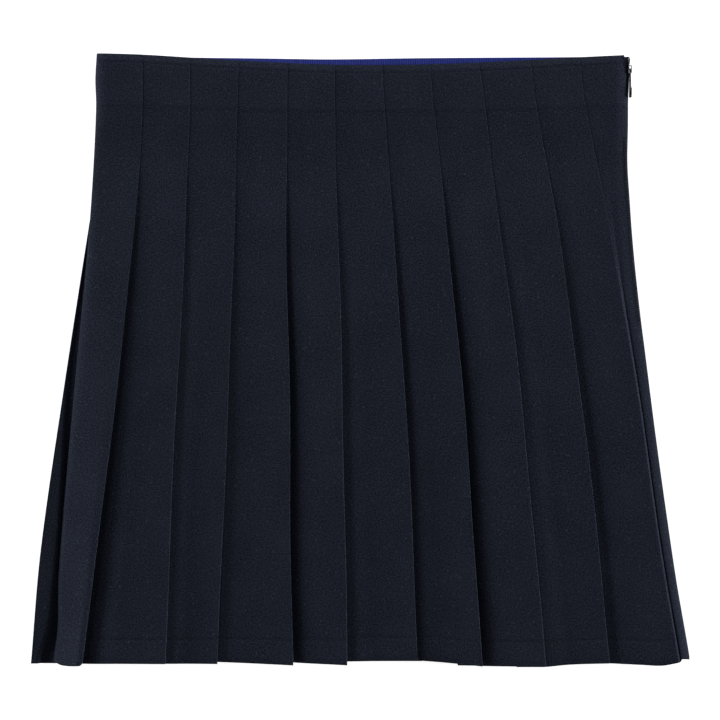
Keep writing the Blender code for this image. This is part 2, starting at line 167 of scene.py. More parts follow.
def right_side(drop):
    """Where front and back meet: the cloth's outermost place, its middle height, and half the height."""
    top = front_level(drop) + RIGHT_PUFF * opening(drop, SIDE_START)
    half = (top - BACK_LOW) / 2
    outer = along(RIGHT_EDGE, drop) + waved(RIGHT_WAVES, drop) - WALL / 2
    return outer, BACK_LOW + half, half


def seam_turn(drop, half):
    """Degrees of the side's turn that the gap between front and back takes up, on each side of its middle."""
    gap = ZIP_GAP + (SEAM_GAP - ZIP_GAP) * smooth((drop - ZIP_LENGTH) / ZIP_END)
    return math.degrees(math.asin(gap / 2 / half))


def back_section(drop):
    """The middle of the back's cloth across the skirt, right to left, as (x, z, hem's rise)."""
    first, last = along(BACK_FIRST, drop), along(BACK_LAST, drop)
    outer, middle, half = right_side(drop)
    reach = half * BACK_SIDE_ROUND
    side = arc(outer - reach, middle, (reach, half), -seam_turn(drop, half), -90, 10)
    section = with_hem(side, SIDE_HEM)
    low, r = BACK_LOW, BACK_LAYER / 2
    face = (last - first) / (len(BACK_HEM) - 1)
    for k in reversed(range(1, len(BACK_HEM))):
        edge = first + face * k
        depth = pleat_depth(face)
        fold = arc(edge + WALL / 2 + r, low + r, (r, r), 270, 90, 6)
        inner = arc(edge + depth - r, low + 3 * r, (r, r), -90, 90, 6)
        next_face = run((edge - 1, low + 4 * r), (edge - 8, low), 6, smooth)
        section += with_hem([(edge + depth + 1, low), (edge + depth / 2, low)] + fold, BACK_HEM[k])
        section += with_hem(inner + [(edge + depth / 2, low + 4 * r)] + next_face, HIDDEN_HEM)
    return section + with_hem(side_pleat(drop, first), BACK_HEM[0])


def side_pleat(drop, first):
    """The back's last pleat: up the wall of its ridge, round its outer fold, and down under the front."""
    low, r = BACK_LOW, WALL
    height = RIDGE[0] + RIDGE[1] * opening(drop, SIDE_START)
    width, *changes = RIDGE_WIDTH
    for change, (at, length) in zip(changes, RIDGE_PLACES):
        width += change * smooth((drop - at) / length)
    wall_x = first + width
    side = run((wall_x + 20, low), (wall_x + 2.2, low), 3)
    side += run((wall_x + 1.6, low + 0.3), (wall_x - 0.4, height - 2 * r), 3, smooth)
    side += arc(first + WALL / 2 + r, height - r, (r, r), 270, 90, 8)
    side += run((first + 2.5 * r, height), (max(wall_x - 0.9, first + 3 * r), height), 5)
    side += run((wall_x - 0.5, height - 0.1), (wall_x + 1.4, low + 2 * r), 5, smooth)
    return side + run((wall_x + 2.4, low + 2 * r), (first + SIDE_PLEAT_DEPTH, INNER_LEVEL - 0.6), 5, smooth)


# Soft creases pressed into the front: x and distance below the waist of the middle, half length, half width,
# turn from upright in degrees, height
CREASES = (
    (-128.0, 180.0, 60.0, 9.0, -6.0, 0.2),
    (-96.0, 285.0, 70.0, 8.0, -3.0, 0.25),
    (-58.0, 150.0, 48.0, 10.0, 4.0, -0.18),
    (-24.0, 245.0, 80.0, 11.0, 0.0, 0.3),
    (12.0, 330.0, 55.0, 8.0, 3.0, 0.2),
    (40.0, 190.0, 66.0, 12.0, 8.0, 0.25),
    (78.0, 300.0, 75.0, 9.0, 6.0, -0.2),
    (118.0, 215.0, 52.0, 10.0, 10.0, 0.25),
    (150.0, 330.0, 60.0, 11.0, 9.0, 0.3),
    (-160.0, 330.0, 64.0, 10.0, -9.0, 0.2),
    (60.0, 92.0, 30.0, 16.0, 70.0, 0.18),
    (-80.0, 88.0, 26.0, 14.0, 98.0, -0.18),
    (-150.0, 104.0, 24.0, 12.0, 80.0, 0.2),
    (140.0, 108.0, 28.0, 13.0, 104.0, 0.2),
    (0.0, 120.0, 34.0, 18.0, 92.0, -0.18),
)


def crease_height(x, y):
    """How far all the soft creases together raise the front there."""
    total = 0.0
    for at, drop, half_length, half_width, turn, height in CREASES:
        a = math.radians(turn)
        dx, dy = x - at, y - (WAIST_Y - drop)
        lengthwise = (dx * math.sin(a) - dy * math.cos(a)) / half_length
        crosswise = (dx * math.cos(a) + dy * math.sin(a)) / half_width
        total += height * math.exp(-(lengthwise**2) - crosswise**2)
    return total


# How far the front's edges turn down and its turned-up hem rises, and over what lengths
EDGE_TURN = (1.2, 1.3)  # the waist's edge, from its stitches on: how far, and the power of the curve
TOP_TURN = (0.5, 22.0)  # the waist's edge once more, more slowly
HEM_TURN = (0.5, 3.0)
HEM_SPRING = (0.4, 26.0)
GROOVE_WIDTH = 0.8  # of the groove that the stitches lie in
CORNER_WIDTH = 5.0  # of the waist's corner beside the zip


def turned_in(drop):
    """How far the front's waist edge turns down, over the tape."""
    edge = EDGE_TURN[0] * max(1 - drop / WAIST_STITCH, 0.0) ** EDGE_TURN[1]
    return edge + TOP_TURN[0] * max(1 - drop / TOP_TURN[1], 0.0) ** 2


def in_rows(section_at, drops, top, corner_cut=0.0, groove=0.0):
    """The cloth's points row by row, waist to hem: the section, with the waist's and the hem's edges cut.

    Where the stitches sink into a groove, the cloth is the front, which has its creases and turned edges too.
    """
    rows = []
    for drop in drops:
        row = []
        corner = along(RIGHT_EDGE, drop) - CORNER_WIDTH
        above_hem = LENGTH - drop
        sewn = bell(drop - WAIST_STITCH, GROOVE_WIDTH) + bell(above_hem - HEM_STITCH, GROOVE_WIDTH)
        turned = turned_in(drop) + HEM_TURN[0] * max(1 - above_hem / HEM_TURN[1], 0.0) ** 2
        sprung_up = HEM_SPRING[0] * smooth(1 - above_hem / HEM_SPRING[1])
        for x, z, hem in section_at(drop):
            rise = curve(TOP_PLACES, top, x) - corner_cut * smooth((x - corner) / CORNER_WIDTH)
            y = WAIST_Y - drop
            y += rise * (1 - smooth(drop / TOP_FADE))
            y += hem * smooth(1 - above_hem / HEM_FADE)
            if groove:
                z += crease_height(x, y) + sprung_up - groove * sewn - turned
            row.append((x, y, z))
        rows.append(row)
    return rows


def grid_piece(name, rows):
    """A grid moved on to rows of points. Its UV map is the flat cloth, in metres."""
    bpy.ops.object.select_all(action="DESELECT")
    bpy.ops.mesh.primitive_grid_add(x_subdivisions=len(rows[0]) - 1, y_subdivisions=len(rows) - 1, size=1)
    piece = bpy.context.object
    piece.name = piece.data.name = name
    places, flat = [], []
    for row in reversed(rows):
        across = 0.0
        before = row[0]
        for point in row:
            across += math.dist(before[::2], point[::2])
            before = point
            places += [c * MM for c in point]
            flat.append((across * MM, point[1] * MM))
    piece.data.vertices.foreach_set("co", places)
    corners = [0] * len(piece.data.loops)
    piece.data.loops.foreach_get("vertex_index", corners)
    uv = piece.data.uv_layers.active.data
    uv.foreach_set("uv", [value for corner in corners for value in flat[corner]])
    piece.data.update()
    return piece


def cloth_sheet(name, rows, wall):
    """A grid piece with a wall as thick as the cloth, half on each side of the rows."""
    sheet = grid_piece(name, rows)
    solidify = sheet.modifiers.new("wall", "SOLIDIFY")
    solidify.thickness = wall * MM
    solidify.offset = 0.0
    bpy.ops.object.modifier_apply(modifier=solidify.name)
    bpy.ops.object.shade_smooth_by_angle(angle=math.radians(60))
    return sheet


def add_node(tree, kind, inputs=(), **settings):
    """A node with its settings. Each input is a value, or the socket that feeds it."""
    node = tree.nodes.new(kind)
    for key, value in settings.items():
        setattr(node, key, value)
    for socket, value in dict(inputs).items():
        if isinstance(value, bpy.types.NodeSocket):
            tree.links.new(value, node.inputs[socket])
        else:
            node.inputs[socket].default_value = value
    return node


WAVE_SCALE = 0.3142  # scale of a wave texture that has one band a metre
RIB_SHARE = 0.07  # how much the twill's ribs count beside its uneven yarn


def cloth_grain():
    """Uneven yarn in a close twill: its shade from dark to light, and its height for a bump."""
    group = bpy.data.node_groups.new("cloth grain", "ShaderNodeTree")
    group.interface.new_socket("Place", in_out="INPUT", socket_type="NodeSocketVector")
    group.interface.new_socket("Yarns a metre", in_out="INPUT", socket_type="NodeSocketFloat")
    group.interface.new_socket("Shade", in_out="OUTPUT", socket_type="NodeSocketFloat")
    group.interface.new_socket("Height", in_out="OUTPUT", socket_type="NodeSocketFloat")
    start = add_node(group, "NodeGroupInput")
    place, fineness = start.outputs["Place"], start.outputs["Yarns a metre"]
    rib_scale = add_node(group, "ShaderNodeMath", {0: fineness, 1: WAVE_SCALE}, operation="MULTIPLY")
    ribs = add_node(
        group,
        "ShaderNodeTexWave",
        {
            "Vector": place,
            "Scale": rib_scale.outputs[0],
            "Distortion": 2.5,
            "Detail": 1.0,
            "Detail Scale": 2.0,
        },
        bands_direction="DIAGONAL",
    )
    yarn = add_node(
        group, "ShaderNodeTexNoise", {"Vector": place, "Scale": fineness, "Detail": 2.0, "Roughness": 0.7}
    )
    tufts = add_node(group, "ShaderNodeTexVoronoi", {"Vector": place, "Scale": fineness, "Randomness": 1.0})
    speck = add_node(
        group, "ShaderNodeMapRange", {"Value": tufts.outputs["Color"], "From Min": 0.86, "To Max": 0.4}
    )
    woven = add_node(
        group,
        "ShaderNodeMath",
        {0: ribs.outputs["Fac"], 1: RIB_SHARE, 2: yarn.outputs["Fac"]},
        operation="MULTIPLY_ADD",
    )
    shade = add_node(group, "ShaderNodeMath", {0: woven.outputs[0], 1: speck.outputs[0]}, operation="ADD")
    end = add_node(group, "NodeGroupOutput")
    group.links.new(shade.outputs[0], end.inputs["Shade"])
    group.links.new(woven.outputs[0], end.inputs["Height"])
    return group


GRAIN = cloth_grain()
TWILL_YARNS = 950.0  # a metre
NAVY_DARK = (0.004, 0.006, 0.015, 1)
NAVY_LIGHT = (0.050, 0.061, 0.092, 1)
CLOUDS = (30.0, 0.12)  # scale and strength of the cloth's broad, faint unevenness


def shader_of(name):
    """A new material: its tree and its Principled BSDF."""
    material = bpy.data.materials.new(name)
    material.use_nodes = True
    return material, material.node_tree, material.node_tree.nodes["Principled BSDF"]


def twill():
    """Navy twill: uneven yarn, faintly clouded, with a little sheen."""
    material, tree, shader = shader_of("navy twill")
    place = add_node(tree, "ShaderNodeUVMap", uv_map="UVMap")
    grain = add_node(tree, "ShaderNodeGroup", node_tree=GRAIN)
    tree.links.new(place.outputs["UV"], grain.inputs["Place"])
    grain.inputs["Yarns a metre"].default_value = TWILL_YARNS
    cloudy = add_node(
        tree, "ShaderNodeTexNoise", {"Vector": place.outputs["UV"], "Scale": CLOUDS[0], "Detail": 3.0}
    )
    mixed = add_node(
        tree,
        "ShaderNodeMath",
        {0: cloudy.outputs["Fac"], 1: CLOUDS[1], 2: grain.outputs["Shade"]},
        operation="MULTIPLY_ADD",
    )
    shade = add_node(
        tree, "ShaderNodeMapRange", {"Value": mixed.outputs[0], "From Min": 0.395, "From Max": 0.835}
    )
    colour = add_node(
        tree, "ShaderNodeMix", {0: shade.outputs[0], 6: NAVY_DARK, 7: NAVY_LIGHT}, data_type="RGBA"
    )
    bump = add_node(
        tree, "ShaderNodeBump", {"Height": grain.outputs["Height"], "Strength": 0.4, "Distance": 0.25 * MM}
    )
    tree.links.new(colour.outputs[2], shader.inputs["Base Color"])
    tree.links.new(bump.outputs[0], shader.inputs["Normal"])
    shader.inputs["Roughness"].default_value = 0.85
    shader.inputs["Specular IOR Level"].default_value = 0.08
    shader.inputs["Sheen Weight"].default_value = 0.08
    shader.inputs["Sheen Roughness"].default_value = 0.35
    shader.inputs["Sheen Tint"].default_value = (0.8, 0.85, 1.0, 1)
    return material


TWILL = twill()


def spaced(start, end, count):
    """Places from the start on, evenly spaced. The end isn't one of them."""
    return [start + (end - start) * k / count for k in range(count)]


THREAD = 0.16  # radius of the sewing thread
STITCH_TURN = 6  # points round the thread
STITCH_STEPS = 4  # places along a stitch
STITCH_RISE = 2.0  # how far the thread rises in a stitch, as a share of its radius
STITCH_SUNK = 1.2  # how far it starts below the cloth's face
STITCH_FULL = 0.6  # power that keeps it up along the stitch


def sewn_line(name, row, side, stitch, ends):
    """A line of stitches on one row of the cloth's points: a thread that dips into the cloth between them.

    The side is 1 on top of the cloth and -1 under it. The ends are left bare, at the left and at the right.
    """
    low, high = min(p[0] for p in row) + ends[0], max(p[0] for p in row) - ends[1]
    count = int((high - low) / stitch) * STITCH_STEPS
    rings = []
    for n in range(count + 1):
        x = low + (high - low) * n / count
        found = []
        for one, two in zip(row, row[1:]):
            if min(one[0], two[0]) <= x <= max(one[0], two[0]) and one[0] != two[0]:
                t = (x - one[0]) / (two[0] - one[0])
                found.append((side * (one[2] + (two[2] - one[2]) * t), one[1] + (two[1] - one[1]) * t))
        height, y = max(found)
        wave = abs(math.sin(math.pi * n / STITCH_STEPS)) ** STITCH_FULL
        proud = WALL / 2 + THREAD * (STITCH_RISE * wave - STITCH_SUNK)
        round_thread = arc(y, side * (height + proud), (THREAD, THREAD), 360, 0, STITCH_TURN)
        if n in (0, count):
            round_thread = [(y, side * height)] * (STITCH_TURN + 1)
        rings.append([(x, across, up) for across, up in round_thread])
    thread = grid_piece(name, rings)
    bpy.ops.object.mode_set(mode="EDIT")
    bpy.ops.mesh.select_all(action="SELECT")
    bpy.ops.mesh.remove_doubles(threshold=0.00001)
    bpy.ops.object.mode_set(mode="OBJECT")
    bpy.ops.object.shade_smooth()
    thread.data.materials.append(SEWING_THREAD)
    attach(thread, "skirt")


THREAD_YARNS = 2600.0  # a metre
THREAD_DARK = (0.001, 0.0015, 0.006, 1)
THREAD_LIGHT = (0.022, 0.027, 0.055, 1)


def sewing_thread():
    """Navy thread, finer and darker than the cloth's yarn."""
    material, tree, shader = shader_of("navy sewing thread")
    place = add_node(tree, "ShaderNodeTexCoord")
    grain = add_node(tree, "ShaderNodeGroup", node_tree=GRAIN)
    tree.links.new(place.outputs["Object"], grain.inputs["Place"])
    grain.inputs["Yarns a metre"].default_value = THREAD_YARNS
    colour = add_node(
        tree,
        "ShaderNodeMix",
        {0: grain.outputs["Shade"], 6: THREAD_DARK, 7: THREAD_LIGHT},
        data_type="RGBA",
    )
    bump = add_node(
        tree, "ShaderNodeBump", {"Height": grain.outputs["Height"], "Strength": 0.3, "Distance": 0.1 * MM}
    )
    tree.links.new(colour.outputs[2], shader.inputs["Base Color"])
    tree.links.new(bump.outputs[0], shader.inputs["Normal"])
    shader.inputs["Roughness"].default_value = 0.6
    shader.inputs["Specular IOR Level"].default_value = 0.2
    return material


SEWING_THREAD = sewing_thread()
WAIST_STITCH_LENGTH = 3.0
HEM_STITCH_LENGTH = 1.7
BACK_ENDS = (4.0, 6.0)  # of the sewn lines
# The rows of the cloth, closer together at the waist and at the hem
BACK_DROPS = spaced(0, 12, 6) + spaced(12, 400, 56) + spaced(400, LENGTH, 8) + [LENGTH]
back = cloth_sheet("back_cloth", in_rows(back_section, BACK_DROPS, BACK_TOP), WALL)
back.data.materials.append(TWILL)
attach(back, "skirt")
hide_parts("back_panel")

waist_row, hem_row = in_rows(back_section, (WAIST_STITCH, LENGTH - HEM_STITCH), BACK_TOP)
sewn_line("back_waist_stitches", waist_row, -1, WAIST_STITCH_LENGTH, BACK_ENDS)
sewn_line("back_hem_stitches", hem_row, -1, HEM_STITCH_LENGTH, BACK_ENDS)


# Waist tape
# Royal-blue ribbed tape, 34 mm wide, stitched inside the waist. One length runs along the back, round the
# left side and along the front, and its ribs cross it from edge to edge.

TAPE = 0.8  # its thickness
TAPE_SHOW = 0.5  # it stands this far past the back's waist edge
TAPE_HIDE = 0.35  # and ends this far below the front's
TAPE_END = 9.0  # it ends this far in from the right edge
TAPE_INSET = 6.0  # it turns this far in from the left edge
TAPE_LOW = 4.5  # its level along the back
TAPE_HIGH = 5.9  # its level along the front
TAPE_COLUMNS = 120
TAPE_TURN = 9  # steps round the turn
TAPE_FOLLOWS = 0.6  # how much of the front's turned-down edge it follows
LEFT_EDGE = (-184.4, -184.7, -189.7, -200.1, -209.9, -215.0)
FRONT_TOP = (4.7, 3.65, 1.6, -1.5, -3.3, -3.3, -1.5, 1.8, 3.4)  # the waist edge's rise at TOP_PLACES
RIB = 1.6  # from one rib to the next
TAPE_DARK = (0.012, 0.018, 0.19, 1)
TAPE_LIGHT = (0.045, 0.07, 0.4, 1)


def tape_rows():
    """The tape's points row by row: along the back from the right, round the turn, and along the front."""
    rows = []
    radius = (TAPE_HIGH - TAPE_LOW) / 2
    for fall in spaced(0, 6, 8) + spaced(6, TAPE_WIDTH, 12) + [TAPE_WIDTH]:
        left = along(LEFT_EDGE, fall) + TAPE_INSET + radius
        right = along(RIGHT_EDGE, fall) - TAPE_END
        across = spaced(right, left, TAPE_COLUMNS) + [left]
        line = [(x, TAPE_LOW, 0.0) for x in across]
        turn = arc(left, TAPE_LOW + radius, (radius, radius), 252, 90, TAPE_TURN)
        line += [(x, z, (k + 1) / len(turn)) for k, (x, z) in enumerate(turn)]
        line += [(x, TAPE_HIGH, 1.0) for x in reversed(across[:-1])]
        row = []
        for x, z, on_front in line:
            behind = curve(TOP_PLACES, BACK_TOP, x) + TAPE_SHOW
            before = curve(TOP_PLACES, FRONT_TOP, x) - TAPE_HIDE
            y = WAIST_Y + behind + (before - behind) * on_front - fall
            row.append((x, y, z - TAPE_FOLLOWS * turned_in(fall)))
        rows.append(row)
    return rows


def ribbed_blue():
    """Royal-blue tape of uneven yarn, with ribs across it."""
    material, tree, shader = shader_of("royal-blue ribbed tape")
    place = add_node(tree, "ShaderNodeUVMap", uv_map="UVMap")
    ribs = add_node(
        tree,
        "ShaderNodeTexWave",
        {"Vector": place.outputs["UV"], "Scale": WAVE_SCALE / (RIB * MM), "Distortion": 0.4, "Detail": 1.0},
        bands_direction="X",
    )
    yarn = add_node(
        tree, "ShaderNodeTexNoise", {"Vector": place.outputs["UV"], "Scale": 1200.0, "Detail": 2.0}
    )
    shade = add_node(
        tree,
        "ShaderNodeMath",
        {0: yarn.outputs["Fac"], 1: 0.5, 2: ribs.outputs["Fac"]},
        operation="MULTIPLY_ADD",
    )
    ranged = add_node(tree, "ShaderNodeMapRange", {"Value": shade.outputs[0], "From Max": 1.5})
    colour = add_node(
        tree,
        "ShaderNodeMix",
        {0: ranged.outputs[0], 6: TAPE_DARK, 7: TAPE_LIGHT},
        data_type="RGBA",
    )
    bump = add_node(
        tree, "ShaderNodeBump", {"Height": ribs.outputs["Fac"], "Strength": 0.6, "Distance": 0.3 * MM}
    )
    tree.links.new(colour.outputs[2], shader.inputs["Base Color"])
    tree.links.new(bump.outputs[0], shader.inputs["Normal"])
    shader.inputs["Roughness"].default_value = 0.6
    shader.inputs["Specular IOR Level"].default_value = 0.15
    return material


tape = cloth_sheet("ribbed_tape", tape_rows(), TAPE)
tape.data.materials.append(ribbed_blue())
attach(tape, "skirt")
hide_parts("waist_tape")


# Front panel
# The same navy twill, knife-pleated into eleven faces. All ten folds point to the viewer's right. They are
# pressed flat from the waist to the hip, and spring open towards the hem.

LAYER = (0.26, 0.17)  # from one pressed layer's middle to the next, and what is added at the hem
# Folds: places at the stations, how far the fold springs up at the hem, how far it gapes, how round it is,
# and how high the face past it swells up again
FRONT_FOLDS = (
    ((-152.3, -152.3, -157.9, -170.1, -183.4, -194.1), 8.2, 5.0, 0.2, 3.0),
    ((-119.0, -119.0, -122.2, -127.8, -133.0, -135.8), 2.6, 3.0, 0.3, 0.0),
    ((-84.7, -85.8, -88.2, -91.7, -96.6, -99.4), 3.0, 2.7, 0.2, 0.0),
    ((-50.6, -51.1, -51.5, -49.4, -48.3, -46.9), 4.2, 3.4, 0.15, 2.0),
    ((-17.7, -17.5, -15.4, -12.3, -10.2, -8.8), 2.6, 3.0, 0.3, 0.0),
    ((15.4, 17.5, 23.1, 31.5, 37.1, 40.6), 4.2, 3.1, 0.2, 0.0),
    ((49.0, 51.8, 60.9, 71.8, 80.2, 85.4), 5.2, 3.9, 0.2, 2.4),
    ((83.3, 87.9, 98.0, 112.4, 122.5, 130.2), 2.5, 2.9, 0.3, 0.0),
    ((119.0, 123.9, 138.6, 154.0, 167.0, 175.0), 2.9, 2.95, 0.2, 0.0),
    ((153.3, 157.9, 175.4, 193.9, 210.7, 223.2), 2.2, 0.0, 0.7, 0.0),
)
# The hem's rise along each face: shares of the face's width, and the rises there
FACE_HEMS = (
    ((0.0, 0.3, 0.93, 1.0), (1.0, -1.8, -1.8, -0.4)),
    ((0.0, 1.0), (-0.7, -0.7)),
    ((0.0, 1.0), (-0.8, -0.8)),
    ((0.0, 1.0), (0.4, -1.7)),
    ((0.0, 1.0), (0.0, -1.6)),
    ((0.0, 1.0), (0.8, 1.4)),
    ((0.0, 0.5, 1.0), (1.5, -0.3, -2.4)),
    ((0.0, 1.0), (-2.4, -2.7)),
    ((0.0, 0.4, 1.0), (-3.0, -1.4, -0.4)),
    ((0.0, 0.45, 0.75, 1.0), (-0.6, -1.6, -2.1, 0.1)),
    ((0.0, 1.0), (0.0, 2.4)),
)
LIFT_START = 75.0  # the pleats spring open from here down
LIFT_POWER = 2.3  # the higher, the sooner they are open
LIFT_REACH = 0.72  # of the face's width: how far back from its fold a face is lifted
LIFT_CURVE = 1.7  # power of the face's curve up to its fold
FALL_REACH = 0.4  # of the face's width: how soon a face is down, past the fold before it
LOWEST_START = -0.5  # past a fold, a face starts no further down than this
SWELL_REACH = 16.0  # how soon a face has swelled up
TRENCH_GAPE = (2.7, 3.3)  # past a fold that gapes more than the first, the next face starts in a trench
TRENCH = (1.1, 3.5)  # the deepest trench, from the second on: depth at the hem, and width. Others are wider
HEM_TUCK = 0.5  # how much shorter the cloth inside a pleat is at the hem
FACE_START = 0.06  # a face's first points lie this far past the fold before it
FACE_STEPS = 24
LEFT_HEIGHT = 2.5  # of the front's left edge
LEFT_WAVES = ((-1.0, 18.0, 12.0), (1.8, 397.0, 20.0))  # the left edge: out at the waist, in near the hem
LEFT_ROUND = (10.0, -6.0)  # how far in from the left edge the cloth rounds over, and what is added at the hem
LEFT_CLIMB = (2.2, -1.2)  # power of the left face's climb to its fold, and what is added at the hem
LEFT_CLIMB_END = 3.5  # it ends this far before the fold
LEFT_CROWDING = 1.8  # power that draws the left face's points to its edge, where it rounds over
UNDER_END = 1.35  # the layer below the left face stops this far before the pleat's inner fold
UNDER_START = 2.5  # and starts this far in from the left edge
RIGHT_ROUND = 9.0  # width of the right edge's turn
RIGHT_FLATNESS = 1.35  # power that makes the right edge's turn straighter than an ellipse
RIGHT_HEM = (1.2, 2.2, 1.3)  # hem's rise added along the last face, at the start of the turn, and along it
CORNER_CUT = 4.5  # how far down the waist's corner beside the zip is cut
WAVER = (0.35, 30.5, 80.0)  # how far a fold wanders, over what length, and how far down it does so in full
WAVER_APART = 2.1  # from one fold's wandering to the next, in radians
FRONT_GROOVE = 0.28  # how deep its stitches lie


def sprung(drop):
    """How far the pleats have sprung open: 0 to LIFT_START, and 1 at the hem."""
    return 1 - (1 - max(drop - LIFT_START, 0.0) / (LENGTH - LIFT_START)) ** LIFT_POWER


def lifted(back, reach, height):
    """A face's lift at a distance back from its fold."""
    return height * max(1 - back / reach, 0.0) ** LIFT_CURVE


def stack_under(edge, depth, layer, rounding, mouth, top_at, hems):
    """A pleat's fold, its return and inner fold, and the start of the next face, under the face above.

    The face's height is top_at(x), and the hem's rises are the fold's own and that of what lies hidden.
    """
    r = layer / 2 + rounding
    fold = edge - WALL / 2 - r
    spare = 2 * rounding
    points = with_hem(arc(fold, top_at(fold) - r, (r, r), 80, -90, 8), hems[0])
    for back in (0.25, 0.5, 0.75, 0.9):
        x = fold - (depth - r) * back
        points.append((x, top_at(x) - layer - spare * smooth(1 - back), hems[1]))
    inner = edge - depth + layer / 2
    points += with_hem(arc(inner, top_at(inner) - 1.5 * layer, (layer / 2, layer / 2), 90, 270, 5), hems[1])
    for share in (0.2, 0.45, 0.7, 0.9):
        x = inner + (edge - inner) * share
        points.append((x, top_at(x) - 2 * layer - mouth * smooth(share), hems[1]))
    return points


def front_section(drop):
    """The middle of the front's cloth across the skirt, left to right, as (x, z, hem's rise)."""
    base = front_level(drop)
    opened = sprung(drop)
    layer = LAYER[0] + LAYER[1] * opened
    left = along(LEFT_EDGE, drop) + waved(LEFT_WAVES, drop) + WALL / 2
    seam = along(BACK_FIRST, drop) + SIDE_PLEAT_DEPTH
    edges = []
    for k, (places, *_) in enumerate(FRONT_FOLDS):
        waver = WAVER[0] * math.sin(drop / WAVER[1] + k * WAVER_APART) * smooth(drop / WAVER[2])
        edges.append(along(places, drop) + waver)
    flat_to = edges[0] - pleat_depth(edges[0] - left) - UNDER_END
    r = LEFT_HEIGHT - INNER_LEVEL
    section = with_hem(run((seam, INNER_LEVEL), (flat_to, INNER_LEVEL), 2), 1.2)
    section += with_hem(run((flat_to - 1.0, INNER_LEVEL), (left + UNDER_START, INNER_LEVEL), 2), 1.2)
    section += with_hem(arc(left + r, LEFT_HEIGHT, (r, r), 270, 180, 5), 1.0)
    start, before, swell, sunk = left, None, 0.0, 0.0
    for k, (places, lift_at_hem, gape, rounding, swell_past) in enumerate(FRONT_FOLDS):
        edge = edges[k]
        face = edge - start
        depth = pleat_depth(face)
        lift, mouth = lift_at_hem * opened, gape * opened
        hem_places, rises = FACE_HEMS[k]

        def top_at(x):
            """Middle of the face's cloth at a place across: its height."""
            climbed = 2 * layer * smooth((x - start - 1.0) / (face - depth - 1.0))
            if before is None:
                from_left = min((x - start) / (LEFT_ROUND[0] + LEFT_ROUND[1] * opened), 1.0)
                rounded = math.sqrt(max(1 - (1 - from_left) ** 2, 0.0))
                climb = LEFT_CLIMB[0] + LEFT_CLIMB[1] * opened
                over = 1 - max(1 - (x - start) / (face - LEFT_CLIMB_END), 0.0) ** climb
                return LEFT_HEIGHT + (base - LEFT_HEIGHT) * rounded + (2 * layer + lift) * over
            fallen = before * (1 - smooth((x - start) / (FALL_REACH * face)))
            swelled = swell * smooth((x - start) / SWELL_REACH)
            trench = TRENCH[0] * opened * sunk * (1 - smooth((x - start) * sunk / TRENCH[1]))
            return base + fallen + climbed + swelled - trench + lifted(edge - x, LIFT_REACH * face, lift)

        r = layer / 2 + rounding * opened
        fold = edge - WALL / 2 - r
        for n in range(FACE_STEPS):
            share = n / (FACE_STEPS - 1)
            if before is None:
                share = share**LEFT_CROWDING
            x = start + FACE_START + (fold - start - FACE_START) * share
            section.append((x, top_at(x), curve(hem_places, rises, (x - start) / face)))
        own_end = rises[-1]
        hidden = max(own_end, FACE_HEMS[k + 1][1][0]) + HEM_TUCK
        next_sunk = smooth((gape - TRENCH_GAPE[0]) / (TRENCH_GAPE[1] - TRENCH_GAPE[0]))
        below = mouth + TRENCH[0] * opened * next_sunk
        section += stack_under(edge, depth, layer, rounding * opened, below, top_at, (own_end, hidden))
        start, before = edge, max(lift + swell - mouth, LOWEST_START)
        swell, sunk = swell_past * opened, next_sunk
    outer, middle, half = right_side(drop)
    reach = min(RIGHT_ROUND, 0.8 * (outer - start))
    centre = outer - reach
    for n in range(8):
        x = start + FACE_START + (centre - start) * n / 8
        share = (x - start) / (centre - start)
        z = base + before * (1 - smooth(share / 0.5)) + RIGHT_PUFF * opening(drop, SIDE_START) * smooth(share)
        section.append((x, z, FACE_HEMS[-1][1][0] + RIGHT_HEM[0] * share))
    for x, z in arc(0.0, 0.0, (1.0, 1.0), 90, seam_turn(drop, half), 14):
        x, z = abs(x) ** RIGHT_FLATNESS, z**RIGHT_FLATNESS
        section.append((centre + reach * x, middle + half * z, RIGHT_HEM[1] + RIGHT_HEM[2] * x))
    return section


FRONT_DROPS = spaced(0, 3, 3) + spaced(3, 8.4, 8) + spaced(8.4, 31, 6) + spaced(31, 38, 7)
FRONT_DROPS += spaced(38, 401, 58) + spaced(401, 409, 9) + spaced(409, LENGTH, 6) + [LENGTH]
front_rows = in_rows(front_section, FRONT_DROPS, FRONT_TOP, CORNER_CUT, FRONT_GROOVE)
front = cloth_sheet("front_cloth", front_rows, WALL)
front.data.materials.append(TWILL)
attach(front, "skirt")
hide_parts("front_panel")
sewn_drops = (WAIST_STITCH, LENGTH - HEM_STITCH)
waist_row, hem_row = in_rows(front_section, sewn_drops, FRONT_TOP, CORNER_CUT, FRONT_GROOVE)
sewn_line("front_waist_stitches", waist_row, 1, WAIST_STITCH_LENGTH, (1.5, 5.0))
sewn_line("front_hem_stitches", hem_row, 1, HEM_STITCH_LENGTH, (1.0, 4.0))


# Zip
# A concealed zip in the wearer's left side seam: a nylon coil sewn to black woven tape. Its dark plated
# slider sits at the top, outside the seam, and the pull hangs down from there.

COIL_PITCH = 1.5
COIL_RING = (0.52, 0.17)  # radius of a turn of the coil, and of its wire
COIL_LEAN = 14.0  # degrees
COIL_IN = 1.1  # the coil's middle, in from the side's edge
ZIP_MIDDLE = 3.95  # its height
COIL_DARK = (0.004, 0.004, 0.005, 1)
COIL_WORN = (0.03, 0.03, 0.034, 1)


